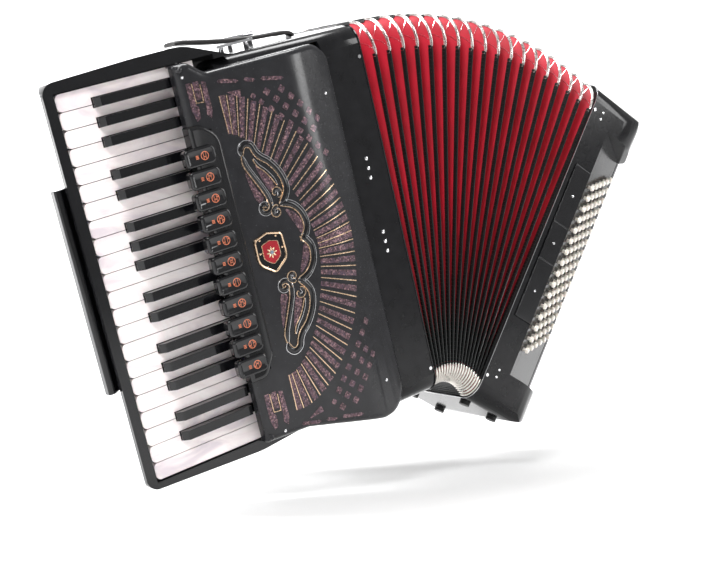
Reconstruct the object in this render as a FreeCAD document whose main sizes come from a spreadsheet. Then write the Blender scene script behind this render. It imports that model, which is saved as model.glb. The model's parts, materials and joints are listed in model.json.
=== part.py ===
"""Piano accordion, worn on the chest and opened in a fan.

Every piece is drawn with the instrument closed and upright: X runs from the keyboard to the bass end,
Y from the grille to the player's chest and Z up, with x = 0 where the treble case meets the bellows,
y = 0 on the front of the cases and z = 0 at the middle of the grille. Each piece is then placed: it
swings about the fan line by its share of the fan angle, and the whole instrument leans on the chest.
The origin is the centre of the treble case's back, where it rests on the player.
"""
import FreeCAD, Part
import math
import os
import Sketcher
from FreeCAD import Placement, Rotation, Vector

X_AXIS, Y_AXIS, Z_AXIS = Vector(1, 0, 0), Vector(0, 1, 0), Vector(0, 0, 1)

SIZES = [
    ("lean_angle", -15.8, "lean of the treble case from upright, degrees"),
    ("fan_angle", 43.7, "angle between the two cases as placed, degrees"),
    ("fan_x", 27.5, "fan line, from the treble case"),
    ("fan_z", -216.0, "fan line, height"),
    ("fold_count", 18, "folds in the bellows"),
    ("bellows_width", 76.7, "width of the closed bellows"),
    ("frame_thick", 8.0, "thickness of one bellows frame"),
    ("frame_width", 22.0, "width of a bellows frame's sides"),
    ("bellows_inset", 2.0, "bellows inside the cases' outline"),
    ("box_depth", 188.0, "depth of both cases"),
    ("box_top", 232.0, "top of the treble case"),
    ("box_bottom", -236.0, "bottom of both cases"),
    ("bass_top", 228.0, "top of the bass case"),
    ("bellows_top", 234.0, "top of the bellows folds"),
    ("bellows_round", 38.0, "round corners of the bellows folds"),
    ("box_round", 24.0, "round edges along the cases"),
    ("wall", 6.0, "wall of both cases"),
    ("case_left", -200.0, "left side of the treble case"),
    ("strip_left", -54.0, "line where the grille cover meets the case front"),
    ("plate_front", 34.0, "front of the treble foundation plate"),
    ("plate_thick", 6.0, "thickness of the foundation plate"),
    ("key_pitch", 20.0, "pitch of the white keys"),
    ("key_gap", 0.8, "gap between white keys"),
    ("key_front", -397.5, "front ends of the white keys"),
    ("key_top", 3.6, "playing face of the white keys"),
    ("key_thick", 18.0, "thickness of a key"),
    ("key_tail", -226.0, "inner end of the keys"),
    ("keyboard_top", 237.0, "upper side of the first white key"),
    ("black_front", -356.0, "front ends of the black keys"),
    ("black_width", 10.5, "width of a black key"),
    ("black_top", -7.4, "playing face of the black keys"),
    ("cover_left", -265.0, "left edge of the grille cover"),
    ("axle_x", -240.0, "key axle"),
    ("axle_y", 15.0, "key axle, depth"),
    ("axle_radius", 1.5, "radius of the key axle"),
    ("frame_left", -411.5, "left side of the keyboard frame"),
    ("cover_front", -24.0, "face of the grille cover"),
    ("cover_wall", 2.5, "wall of the grille cover"),
    ("ray_bars", 30, "long openings in the grille, set out like rays"),
    ("ray_x", -218.0, "middle of the rays"),
    ("ray_z", 6.0, "middle of the rays, height"),
    ("diamond", 5.2, "half width of the grille's diamond openings"),
    ("tab_count", 11, "treble register tabs"),
    ("tab_pitch", 24.4, "pitch of the register tabs"),
    ("tab_top", 134.0, "centre of the first register tab"),
    ("bass_far", 205.0, "far end of the bass case"),
    ("bass_strip", 117.0, "edge between the bass case's front and the button board"),
    ("board_width", 103.0, "width of the button board"),
    ("board_angle", 34.0, "slant of the button board, degrees"),
    ("board_top", 178.0, "upper end of the button board"),
    ("board_bottom", -184.0, "lower end of the button board"),
    ("board_thick", 4.0, "thickness of the button board"),
    ("button_rows", 6, "rows of bass buttons"),
    ("button_columns", 16, "buttons in a row"),
    ("button_pitch", 16.1, "pitch of the buttons in a row"),
    ("button_step", 13.3, "distance from one row to the next"),
    ("button_stagger", 8.6, "rise from one row to the next"),
    ("button_first", 13.0, "first row, from the edge of the board"),
    ("button_top", 98.5, "height of the first button of the first row"),
    ("button_radius", 4.3, "radius of a button's head"),
    ("register_low", 27.0, "half length of the middle bass register bar"),
    ("register_high", 112.0, "far end of the outer bass register bars"),
]
ALIASES = {alias: value for alias, value, note in SIZES}

doc = FreeCAD.newDocument("accordion")
sheet = doc.addObject("Spreadsheet::Sheet", "sizes")
for row, (alias, value, note) in enumerate(SIZES, 1):
    sheet.set(f"A{row}", note)
    sheet.set(f"B{row}", str(value))
    sheet.setAlias(f"B{row}", alias)
doc.recompute()

nodes = []


def size(alias):
    return float(sheet.get(alias))


def number(text):
    """The value of a sum such as 'box_top - wall'."""
    total, sign = 0.0, 1.0
    for word in str(text).split():
        if word in ("+", "-"):
            sign = 1.0 if word == "+" else -1.0
        else:
            total += sign * (size(word) if word in ALIASES else float(word))
    return total


def bound(text):
    """The same sum, written for an expression on the sheet."""
    words = [f"sizes.{word}" if word in ALIASES else word for word in str(text).split()]
    return " ".join(words)


def rest(share=0.0):
    """Placement at rest of a piece that takes this share of the fan angle."""
    fan_line = Vector(size("fan_x"), 0, size("fan_z"))
    swing = Placement(Vector(), Rotation(Y_AXIS, size("fan_angle") * share), fan_line)
    middle = Vector(size("case_left") / 2, size("box_depth"), number("box_top + box_bottom") / 2)
    lean = Rotation(Y_AXIS, size("lean_angle"))
    return Placement(-lean.multVec(middle), lean) * swing


def node(piece, label, share=0.0):
    piece.Label = label
    piece.Placement = rest(share)
    nodes.append(piece)
    return piece


def box(name, low, high):
    """A block between two corners, each coordinate a sum on the sheet."""
    block = doc.addObject("Part::Box", name)
    for side, axis, start, stop in zip(("Length", "Width", "Height"), "xyz", low, high):
        block.setExpression(side, f"({bound(stop)}) - ({bound(start)})")
        block.setExpression(f"Placement.Base.{axis}", bound(start))
    return block


def combine(kind, name, base, tool):
    result = doc.addObject(f"Part::{kind}", name)
    result.Base, result.Tool = base, tool
    return result


def cut(name, base, tool):
    return combine("Cut", name, base, tool)


def together(name, pieces):
    """Separate solids in one object."""
    compound = doc.addObject("Part::Compound", name)
    compound.Links = pieces
    return compound


def made(name, shapes):
    """An object that holds shapes worked out from the sheet in a loop."""
    feature = doc.addObject("Part::Feature", name)
    feature.Shape = shapes[0] if len(shapes) == 1 else Part.makeCompound(shapes)
    return feature


def rounded(corners):
    """The lines and arcs of a closed outline; each corner is (u, v, radius)."""
    geometry, joints = [], []
    count = len(corners)
    for index, (u, v, radius) in enumerate(corners):
        here = Vector(u, v, 0)
        before = Vector(*corners[index - 1][:2], 0) - here
        after = Vector(*corners[(index + 1) % count][:2], 0) - here
        if radius == 0:
            joints.append((here, here))
            continue
        before.normalize()
        after.normalize()
        half = before.getAngle(after) / 2
        reach = radius / math.tan(half)
        towards = (before + after).normalize()
        middle = here + towards * (radius / math.sin(half) - radius)
        start, stop = here + before * reach, here + after * reach
        geometry.append(Part.Arc(start, middle, stop))
        joints.append((start, stop))
    for index in range(count):
        start, stop = joints[index - 1][1], joints[index][0]
        if start.distanceToPoint(stop) > 1e-6:
            geometry.append(Part.LineSegment(start, stop))
    return geometry


def origin_plane(body, role):
    return next(item for item in body.Origin.OriginFeatures if item.Role == role)


def sketch_on(body, name, role, lift):
    sketch = body.newObject("Sketcher::SketchObject", name)
    sketch.AttachmentSupport = (origin_plane(body, role), [""])
    sketch.MapMode = "FlatFace"
    sketch.setExpression("AttachmentOffset.Base.z", bound(lift))
    return sketch


def add_rounded_rectangle(sketch, left, right, bottom, top, radius):
    """A constrained rectangle with round corners, its four sides and radius bound to the sheet."""
    u0, u1, v0, v1, r = (number(text) for text in (left, right, bottom, top, radius))
    first = sketch.GeometryCount
    centres = [(u1 - r, v1 - r, 0), (u0 + r, v1 - r, 90), (u0 + r, v0 + r, 180), (u1 - r, v0 + r, 270)]
    for u, v, angle in centres:
        circle = Part.Circle(Vector(u, v, 0), Z_AXIS, r)
        start = math.radians(angle)
        sketch.addGeometry(Part.ArcOfCircle(circle, start, start + math.pi / 2), False)
    ends = [((u1 - r, v1), (u0 + r, v1)), ((u0, v1 - r), (u0, v0 + r)),
            ((u0 + r, v0), (u1 - r, v0)), ((u1, v0 + r), (u1, v1 - r))]
    for start, stop in ends:
        sketch.addGeometry(Part.LineSegment(Vector(*start, 0), Vector(*stop, 0)), False)
    for index in range(4):
        arc, line, following = first + index, first + 4 + index, first + (index + 1) % 4
        constrain(sketch, "Tangent", arc, 2, line, 1)
        constrain(sketch, "Tangent", line, 2, following, 1)
        kind = "Horizontal" if index % 2 == 0 else "Vertical"
        constrain(sketch, kind, line)
    for index in range(1, 4):
        constrain(sketch, "Equal", first, first + index)
    driven = [
        (constrain(sketch, "Radius", first, r), radius),
        (constrain(sketch, "DistanceY", -1, 1, first + 4, 1, v1), top),
        (constrain(sketch, "DistanceX", -1, 1, first + 5, 1, u0), left),
        (constrain(sketch, "DistanceY", -1, 1, first + 6, 1, v0), bottom),
        (constrain(sketch, "DistanceX", -1, 1, first + 7, 1, u1), right),
    ]
    for index, text in driven:
        sketch.setExpression(f"Constraints[{index}]", bound(text))


def constrain(sketch, kind, *arguments):
    return sketch.addConstraint(Sketcher.Constraint(kind, *arguments))


def pad(body, sketch, length, name="Pad", reverse=False):
    feature = body.newObject("PartDesign::Pad", name)
    feature.Profile = sketch
    feature.Reversed = reverse
    feature.setExpression("Length", bound(length))
    return feature


def cross_prism(name, inset, x_low, x_high, top="box_top"):
    """A case's cross-section, drawn in from its outline by inset, from x_low to x_high."""
    body = doc.addObject("PartDesign::Body", name)
    sketch = sketch_on(body, name + "_sketch", "YZ_Plane", x_low)
    add_rounded_rectangle(sketch, inset, f"box_depth - {inset}", f"box_bottom + {inset}",
                          f"{top} - {inset}", f"box_round - {inset}")
    pad(body, sketch, f"{x_high} - {x_low}", name + "_pad")
    return body


def outline_prism(name, role, corners, start, length, reverse=False):
    """A rounded outline drawn on a plane of its own body and padded; start is the plane's lift."""
    body = doc.addObject("PartDesign::Body", name)
    sketch = sketch_on(body, name + "_sketch", role, start)
    sketch.addGeometry(rounded(corners), False)
    pad(body, sketch, length, name + "_pad", reverse)
    return body


# ---- treble case -----------------------------------------------------------------------------------

def case_outline(inset):
    """Front view of the treble case: its lower left corner is cut back to the keyboard's end."""
    left, right = size("case_left") + inset, 1.0
    top, bottom = size("box_top") - inset, size("box_bottom") + inset
    step = bottom + 28
    return [(left, top, 6), (right, top, 0), (right, bottom, 0), (-100, bottom, 40), (left, step, 6)]


def treble_case():
    outer = combine("Common", "case_outer", cross_prism("case_section", "0", "case_left", "0"),
                    outline_prism("case_front", "XZ_Plane", case_outline(0), "- box_depth - 1",
                                  "box_depth + 2"))
    inner = combine("Common", "case_inner", cross_prism("cavity_section", "wall", "case_left + wall", "1"),
                    outline_prism("cavity_front", "XZ_Plane", case_outline(size("wall")),
                                  "- box_depth - 1", "box_depth + 2"))
    hollow = cut("case_hollow", outer, inner)
    left, right = size("case_left") - 1, size("strip_left") - 3
    opening = [(left, 222, 0), (right, 222, 0), (right, -226, 0), (-100, -226, 0), (left, -200, 0)]
    window = outline_prism("case_window", "XZ_Plane", opening, "- plate_front + 1", "plate_front")
    node(cut("case_shell", hollow, window), "treble_case")


def key_centre(index):
    return size("keyboard_top") - size("key_pitch") * (index + 0.5)


def pallet_height(height):
    """Where the pallet of a key at this height sits: the arms crowd in towards the case."""
    keyboard_middle = size("keyboard_top") - 11 * size("key_pitch")
    return number("box_top + box_bottom") / 2 + 0.93 * (height - keyboard_middle)


def treble_foundation():
    """The plate that the pallets close on, with one air hole under each pallet."""
    front, thick = size("plate_front"), size("plate_thick")
    outline = [(-192, 222), (-58, 222), (-58, -222), (-100, -222), (-192, -196)]
    plate = prism_along_y(outline, front, front + thick)
    holes = []
    for height, black in key_heights():
        x = pallet_left(black) + 5
        holes.append(Part.makeBox(24, thick + 2, 8, Vector(x, front - 1, pallet_height(height) - 4)))
    node(made("foundation", [plate.cut(Part.makeCompound(holes))]), "treble_foundation")


def treble_reed_blocks():
    blocks = []
    for index in range(4):
        left = -186 + index * 33
        blocks.append(box(f"reed_block_{index}", (left, "plate_front + plate_thick", -196),
                          (left + 22, "plate_front + plate_thick + 80", 196)))
    node(together("reed_blocks", blocks), "treble_reed_blocks")


# ---- keyboard --------------------------------------------------------------------------------------

WHITE_NAMES = ["f", "g", "a", "b", "c", "d", "e"]
BLACK_SHIFT = {"f": 2.0, "g": 0.0, "a": -2.0, "c": 1.5, "d": -1.5}
WHITE_COUNT = 22


def white_name(index):
    return WHITE_NAMES[index % 7]


def black_centre(index):
    """Height of the black key below a white key."""
    return key_centre(index) - size("key_pitch") / 2 + BLACK_SHIFT[white_name(index)]


def has_black(index):
    return white_name(index) in BLACK_SHIFT and index < WHITE_COUNT - 1


def key_heights():
    for index in range(WHITE_COUNT):
        yield key_centre(index), False
        if has_black(index):
            yield black_centre(index), True


def pallet_left(black):
    return -118 if black else -172


def prism_along_y(points, low, high):
    wire = Part.makePolygon([Vector(x, low, z) for x, z in points + points[:1]])
    return Part.Face(wire).extrude(Vector(0, high - low, 0))


def key_mechanism(height, black):
    """The arm, stem and pallet behind a key, bent from the key's height to the pallet's."""
    end = pallet_height(height)
    left = pallet_left(black)
    line = [(size("key_tail") - 3, height), (-222, height), (-185, end), (left + 20, end)]
    upper = [(x, z + 1.5) for x, z in line]
    lower = [(x, z - 1.5) for x, z in reversed(line)]
    arm = prism_along_y(upper + lower, 9, 12)
    stem = Part.makeBox(4, 18, 4, Vector(left + 15, 9, end - 2))
    pallet = Part.makeBox(34, 7.7, 14, Vector(left, size("plate_front") - 8, end - 7))
    return arm.fuse([stem, pallet])


def axle_slot(height, width):
    """The slot that a key rides on the axle with, open towards the bed."""
    x, y, radius = size("axle_x"), size("axle_y"), size("axle_radius") + 0.4
    round_end = Part.makeCylinder(radius, width, Vector(x, y, height - width / 2), Z_AXIS)
    return round_end.fuse(Part.makeBox(2 * radius, 20, width, Vector(x - radius, y, height - width / 2)))


def white_key(index):
    top = key_centre(index) + (size("key_pitch") - size("key_gap")) / 2
    bottom = top - size("key_pitch") + size("key_gap")
    front, tail, face = size("key_front"), size("key_tail"), size("key_top")
    outline = rounded([(front, top, 6), (tail, top, 0), (tail, bottom, 0), (front, bottom, 6)])
    wire = Part.Wire(Part.__sortEdges__([piece.toShape() for piece in outline]))
    block = Part.Face(wire).extrude(Vector(0, 0, size("key_thick")))
    block.rotate(Vector(), X_AXIS, 90)
    block.translate(Vector(0, face + size("key_thick"), 0))
    room = size("black_width") / 2 + 0.6
    for neighbour in (index, index - 1):
        if 0 <= neighbour and has_black(neighbour):
            middle = black_centre(neighbour)
            block = block.cut(Part.makeBox(tail - size("black_front") + 2, size("key_thick") + 2, 2 * room,
                                           Vector(size("black_front") - 0.8, face - 1, middle - room)))
    middle = (block.BoundBox.ZMin + block.BoundBox.ZMax) / 2
    return block.cut(axle_slot(middle, 24)).fuse(key_mechanism(key_centre(index), False)).removeSplitter()


def black_key(index):
    middle, half = black_centre(index), size("black_width") / 2
    front, face, tail = size("black_front"), size("black_top"), size("key_tail")
    under = size("key_top") + size("key_thick")
    side = [(front + 5, face), (size("cover_left") - 1, face), (size("cover_left") - 1, 0.9), (tail, 0.9),
            (tail, under), (front, under), (front, face + 7)]
    wire = Part.makePolygon([Vector(x, y, middle - half) for x, y in side + side[:1]])
    block = Part.Face(wire).extrude(Vector(0, 0, 2 * half))
    return block.cut(axle_slot(middle, 24)).fuse(key_mechanism(middle, True)).removeSplitter()


def keys():
    groups = {}
    for index in range(WHITE_COUNT):
        name = white_name(index)
        groups.setdefault(f"keys_{name}", []).append(white_key(index))
        if has_black(index):
            groups.setdefault(f"keys_{name}_sharp", []).append(black_key(index))
    for label, solids in groups.items():
        node(made(label, solids), label)


def keyboard_frame():
    """Bed, outer rail and the two end caps, the upper cap sweeping down onto the case."""
    left, right, edge = size("frame_left"), size("case_left") - 0.4, size("box_top") + 0.3
    top, bottom = size("keyboard_top"), size("keyboard_top") - WHITE_COUNT * size("key_pitch")
    rail = left + 12
    outline = [(left, top + 13, 15), (-300, top + 17.5, 90), (-236, top + 18, 60), (-176, edge, 0),
               (right, edge, 0), (right, top + 1, 0), (rail, top + 1, 0), (rail, bottom - 1, 0),
               (right, bottom - 1, 0), (right, bottom - 8, 0), (-262, bottom - 14, 90),
               (left, bottom - 8, 14)]
    rim = outline_prism("frame_rim", "XZ_Plane", outline, "- 44", "44")
    bed = box("frame_bed", ("frame_left + 12", "27.5", bottom - 6), ("case_left - 0.4", "35.5", top + 8))
    # the outer side curves under towards the back
    under = [(left - 2, 7, 0), (left, 7, 0), (left + 3, 14, 12), (left + 16, 30, 20), (left + 26, 46, 0),
             (left - 2, 46, 0)]
    below = outline_prism("frame_under", "XY_Plane", under, "- 260", "520")
    whole = combine("Fuse", "frame_blank", rim, bed)
    node(cut("frame_whole", whole, below), "keyboard_frame")


def key_axle():
    rod = doc.addObject("Part::Cylinder", "axle_rod")
    rod.setExpression("Radius", bound("axle_radius"))
    rod.setExpression("Height", "sizes.key_pitch * 22 + 1.6")
    rod.setExpression("Placement.Base.x", bound("axle_x"))
    rod.setExpression("Placement.Base.y", bound("axle_y"))
    rod.setExpression("Placement.Base.z", "sizes.keyboard_top - sizes.key_pitch * 22 - 0.8")
    node(together("axle", [rod]), "key_axle")


def key_springs():
    """One return spring under each key, standing on the bed."""
    springs = [rod(2.5, (-262, 22.7, height), Y_AXIS, 4.6) for height, black in key_heights()]
    node(made("springs", springs), "key_springs")


def palm_master_bar():
    """The bar on the keyboard's outer rail that the palm pushes."""
    outline = [(-422, 138, 4), (-413, 138, 4), (-413, -94, 4), (-422, -94, 4)]
    node(outline_prism("bar_body", "XZ_Plane", outline, "- 23", "9"), "palm_master_bar")


# ---- grille and registers --------------------------------------------------------------------------

def cover_outline(inset):
    left, right = size("cover_left") + inset, size("strip_left") - inset
    top = size("keyboard_top")
    return [(left, top - inset, 3), (-246, top - inset, 10), (-226, 222 - inset, 14),
            (right, 222 - inset, 24), (right, -236 + inset, 30), (-96, -236 + inset, 30),
            (-205, -207 + inset, 20), (left, -205 + inset, 3)]


def cover_profile(inset):
    """Cross-section of the cover: flat over the pallets, rounding down to the case's front strip."""
    front = size("cover_front") + inset
    left, right = size("cover_left") + inset, size("strip_left") - inset
    return [(left, 1, 0), (left, front + 8, 6), (left + 12, front, 20), (-110, front, 90),
            (right, -7 + inset, 6), (right, 1, 0)]


def cover_part(name, inset):
    section = outline_prism(f"{name}_section", "XY_Plane", cover_profile(inset), "- 260", "520")
    front = outline_prism(f"{name}_front", "XZ_Plane", cover_outline(inset), "0.2", "40")
    return combine("Common", name, section, front)


def ray_line(share):
    """Both ends of a ray of the grille: share runs from 1 for the top ray to -1 for the bottom one."""
    turn = math.copysign(math.radians(91) * abs(share) ** 1.1, share)
    across, up = max(math.cos(turn), 0.0), math.sin(turn)
    inner = Vector(size("ray_x") + 80 * across ** 1.25, 0,
                   size("ray_z") + math.copysign(143 * abs(up) ** 1.25, up) - 8 * across)
    return inner, inner + Vector(math.cos(turn), 0, up) * (43 + 11 * across)


def grille_openings():
    """The long openings like rays, and the rows of diamonds in the two corners beside them."""
    outlines = []
    count = int(size("ray_bars"))
    for index in range(count):
        inner, outer = ray_line(1 - (2 * index + 1) / count)
        along = (outer - inner).normalize()
        side = Vector(-along.z, 0, along.x)
        outlines.append([inner + side * 3.0, outer + side * 3.9, outer - side * 3.9, inner - side * 3.0])
    reach = size("diamond")
    for row, first, last in ((0, 0, 7), (1, 0, 5), (2, 1, 5)):
        for step in range(first, last + 1):
            x, z = -167 + 9.7 * row + 10.2 * step, 173.4 + 9.6 * row - 11.0 * step
            for height in (z, -15 - z):
                outlines.append([Vector(x + u * reach, 0, height + v * reach)
                                 for u, v in ((1, 0), (0, 1), (-1, 0), (0, -1))])
    return outlines


def grille_cover():
    shell = cut("cover_shell", cover_part("cover_outer", 0.0), cover_part("cover_inner", size("cover_wall")))
    slot = box("cover_slot", ("cover_left - 1", "cover_front - 2", -152), (-230, "-13.4", 171))
    # the keys run under the cover's left edge
    gap = box("cover_key_gap", ("cover_left - 1", "-9.5", -204.5), ("cover_left + 6", "1", 236))
    openings = [prism_along_y([(point.x, point.z) for point in outline], -26, 2)
                for outline in grille_openings()]
    cutters = together("cover_cuts", [slot, gap, made("cover_openings", openings)])
    node(cut("cover_whole", shell, cutters), "grille_cover")


def grille_cloth():
    """The cloth behind the cover's openings, bent as the cover is."""
    front, bend, end = number("cover_front + cover_wall + 0.4"), -110, -72
    drop = 17 / 53.5 * (end - bend)
    section = [(-214, front, 0), (bend, front, 90), (end, front + drop, 0), (end, front + drop + 0.5, 0),
               (bend, front + 0.5, 90), (-214, front + 0.5, 0)]
    node(outline_prism("cloth", "XY_Plane", section, "- 198", "409"), "grille_cloth")


TAB_AXLE = (-257, -22.5)


def tab_centre(index):
    return size("tab_top") - size("tab_pitch") * index


def register_housing():
    """The rim around the register tabs, with one opening for each tab and the axle they rock on."""
    block = box("housing_block", ("cover_left - 1", "-27", -151), (-231, "-14", 170))
    openings = [Part.makeBox(16.6, 16, 23, Vector(-268, -29, tab_centre(i) - 11.5)) for i in range(11)]
    frame = cut("housing_frame", block, made("housing_openings", openings))
    axle = made("tab_axle", [rod(1, (*TAB_AXLE, -145), Z_AXIS, 305)])
    node(combine("Fuse", "housing_whole", frame, axle), "register_housing")


def treble_registers():
    """Rocker tabs; each turns on the axle through its inner end."""
    for index in range(int(size("tab_count"))):
        middle = tab_centre(index)
        outline = [(-289, middle + 11, 3), (-252.5, middle + 11, 6), (-252.5, middle - 11, 6),
                   (-289, middle - 11, 3)]
        label = f"treble_register_{index + 1:02d}"
        tab = outline_prism(label + "_block", "XZ_Plane", outline, "19", "11")
        bore = made(label + "_bore", [rod(1.3, (*TAB_AXLE, middle - 12), Z_AXIS, 24)])
        node(cut(label, tab, bore), label)


def grille_badge():
    outline = [(-219, 22, 4), (-185, 22, 4), (-185, -6, 14), (-202, -18, 4), (-219, -6, 14)]
    node(outline_prism("badge", "XZ_Plane", outline, "24.1", "3"), "grille_badge")


# ---- fittings of the treble side -------------------------------------------------------------------

def rod(radius, start, direction, length):
    return Part.makeCylinder(radius, length, Vector(*start), direction)


def treble_fittings():
    """Bellows pins, and the posts and bars that the straps hook onto."""
    top = size("box_top")
    solids = [rod(2.2, (-6, 0, z), -Y_AXIS, 1.2) for z in (192, -204)]
    hooks = [rod(3, (x, 36, top), Z_AXIS, 9) for x in (-168, -134)]
    solids.append(hooks[0].fuse([hooks[1], Part.makeBox(50, 10, 3, Vector(-176, 31, top + 9))]))
    for z, towards in ((top, 1), (size("box_bottom"), -1)):
        posts = [rod(3, (x, 150, z), Z_AXIS * towards, 14) for x in (-90, -60)]
        bar = rod(3, (-96, 150, z + 14 * towards), X_AXIS, 42)
        solids.append(posts[0].fuse([posts[1], bar]))
    node(made("fittings", solids), "treble_fittings")


def bellows_strap():
    """The leather strap that keeps the bellows shut, undone and laid over the keyboard's end cap."""
    top = size("box_top")
    line = [(-217, top + 25), (-195, top + 24.5), (-70, top + 12.5), (-57, top + 6)]
    upper = [(x, z + 4) for x, z in line]
    leather = prism_along_y(upper + list(reversed(line)), 50, 78)
    anchor = Part.makeBox(8, 20, 12, Vector(-66, 54, top))
    node(made("strap_leather", [leather.fuse(anchor).removeSplitter()]), "bellows_strap")


# ---- bellows ---------------------------------------------------------------------------------------

def ring(label, x_middle, thick, share, inset):
    """A rectangular frame with round corners, standing across the bellows."""
    top = "bellows_top" if inset == "bellows_inset" else "bass_top"
    body = doc.addObject("PartDesign::Body", label)
    sketch = sketch_on(body, label + "_sketch", "YZ_Plane", f"{x_middle:g} - {thick / 2:g}")
    for step in (inset, f"{inset} + frame_width"):
        radius = "bellows_round" if step == inset and inset == "bellows_inset" else (
            "box_round - wall" if step == inset else "4")
        opposite = step.replace("+", "-")
        add_rounded_rectangle(sketch, step, f"box_depth - {opposite}", f"box_bottom + {step}",
                              f"{top} - {opposite}", radius)
    pad(body, sketch, f"{thick:g}", label + "_pad")
    return node(body, label, share)


def bellows():
    width, folds = size("bellows_width"), int(size("fold_count"))
    for fold in range(3, folds, 3):
        share = fold / folds
        ring(f"bellows_fold_{fold:02d}", width * share, size("frame_thick"), share, "bellows_inset")
    ring("treble_bellows_frame", -5, 9.5, 0.0, "wall + 0.3")
    ring("bass_bellows_frame", width + 5, 9.5, 1.0, "wall + 0.3")


# ---- bass side -------------------------------------------------------------------------------------

AIR_BUTTON = (92, 140)


def board_point(along, out, height):
    """A point of the button board: its distance from the board's edge, height over its face, and z."""
    slant = math.radians(size("board_angle"))
    return Vector(size("bass_strip") + along * math.cos(slant) + out * math.sin(slant),
                  along * math.sin(slant) - out * math.cos(slant), height)


def board_normal():
    slant = math.radians(size("board_angle"))
    return Vector(math.sin(slant), -math.cos(slant), 0)


def bass_profile(inset):
    """Cross-section of the bass case: flat front strip, then a wide curve to the far end."""
    near, far = size("bellows_width") - 2, size("bass_far") - inset
    front, back = inset, size("box_depth") - inset
    return [(near, front, 0), (165, front, 60), (far, 48, 30), (far, back, 16), (near, back, 0)]


def bass_front(inset):
    near, far = size("bellows_width") - 2, size("bass_far") - inset
    top, bottom = size("bass_top") - inset, size("box_bottom") + inset
    return [(near, top, 0), (far, top, 62), (far, bottom, 62), (near, bottom, 0)]


def bass_part(name, inset, near):
    section = cross_prism(f"{name}_section", inset, near, "bass_far", "bass_top")
    profile = outline_prism(f"{name}_profile", "XY_Plane", bass_profile(number(inset)), "- 260", "520")
    front = outline_prism(f"{name}_front", "XZ_Plane", bass_front(number(inset)), "- box_depth - 1",
                          "box_depth + 2")
    return combine("Common", name, combine("Common", name + "_half", section, profile), front)


def bass_case():
    outer = bass_part("bass_outer", "0", "bellows_width")
    hollow = cut("bass_hollow", outer, bass_part("bass_inner", "wall", "bellows_width - 1"))
    low, high, wall = size("board_bottom"), size("board_top"), size("wall")
    start, far = board_point(0, 0, 0), board_point(size("board_width") + 12, 0, 0)
    # the two ends of the trough that the board lies in
    end = [(start.x - wall, -8, 0), (start.x - wall, 3, 0), (*board_point(2, -wall, 0)[:2], 0),
           (*board_point(size("board_width") + 12, -wall, 0)[:2], 0), (far.x, -8, 0)]
    ends = [outline_prism(f"trough_end_{z:g}", "XY_Plane", end, f"{z:g}", "wall") for z in (low - wall, high)]
    walls = combine("Common", "trough_ends", outer, together("trough_slabs", ends))
    shell = combine("Fuse", "bass_shell", hollow, walls)
    # the wedge in front of the board, with room for the stems of the first row
    room = [(*board_point(along, out, 0)[:2], 0) for along, out in ((9.9, 0), (9.9, -7), (16, -7), (16, 0))]
    wedge = [(start.x, start.y, 0)] + room + [(far.x, far.y, 0), (far.x, -8, 0), (start.x, -8, 0)]
    trough = outline_prism("trough", "XY_Plane", wedge, "board_bottom", f"{high - low:g}")
    registers = box("register_window", ("bellows_width + 9.8", "-1", "- register_high - 0.5"),
                    ("bass_strip - 0.6", "wall + 1", "register_high + 0.5"))
    air_hole = rod(2.6, (size("bass_far") - 10, *AIR_BUTTON), X_AXIS, 12)
    openings = together("bass_openings", [trough, registers, made("air_hole", [air_hole])])
    node(cut("bass_whole", shell, openings), "bass_case")


def button_place(row, column, out):
    along = size("button_first") + size("button_step") * row
    height = size("button_top") + size("button_stagger") * row - size("button_pitch") * column
    return board_point(along, out, height)


def bass_button_board():
    start, reach, thick = 11.0, size("board_width") - 6, size("board_thick")
    low, high = size("board_bottom") + 0.3, size("board_top") - 0.3
    section = ((start, -0.3), (reach, -0.3), (reach, -thick), (start, -thick))
    corners = [board_point(along, out, low) for along, out in section]
    plate = Part.Face(Part.makePolygon(corners + corners[:1])).extrude(Vector(0, 0, high - low))
    holes = []
    for row in range(int(size("button_rows"))):
        for column in range(int(size("button_columns"))):
            foot = button_place(row, column, -thick - 2)
            holes.append(Part.makeCylinder(2.9, thick + 4, foot, board_normal()))
    node(made("board", [plate.cut(Part.makeCompound(holes))]), "bass_button_board")


BUTTON_ROWS = ["counterbass", "bass", "major", "minor", "seventh", "diminished"]


def bass_buttons():
    radius = size("button_radius")
    for row, name in enumerate(BUTTON_ROWS):
        solids = []
        for column in range(int(size("button_columns"))):
            stem = Part.makeCylinder(2.5, 12, button_place(row, column, -8), board_normal())
            head = Part.makeCylinder(radius, 2.6, button_place(row, column, 3.8), board_normal())
            dome = Part.makeCone(radius, radius * 0.55, 1.6, button_place(row, column, 6.4), board_normal())
            solids.append(stem.fuse([head, dome]).removeSplitter())
        node(made(f"buttons_{name}", solids), f"bass_buttons_{name}", 1.0)


def bass_registers():
    spans = [("upper", "register_low + 0.4", "register_high"), ("middle", "- register_low", "register_low"),
             ("lower", "- register_high", "- register_low - 0.4")]
    for name, low, high in spans:
        block = box(f"register_{name}", ("bellows_width + 10.3", "-2.2", low),
                    ("bass_strip - 1.1", "4", high))
        node(together(f"register_{name}_whole", [block]), f"bass_register_{name}", 1.0)


def bass_reed_blocks():
    blocks = [box(f"bass_block_{i}", (96, 78 + 30 * i, -190), (160, 100 + 30 * i, 184)) for i in range(3)]
    foundation = box("bass_plate", (92, 66, -214), (96, 176, 206))
    node(combine("Fuse", "bass_reeds", foundation, together("bass_blocks", blocks)), "bass_reed_blocks")


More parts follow.
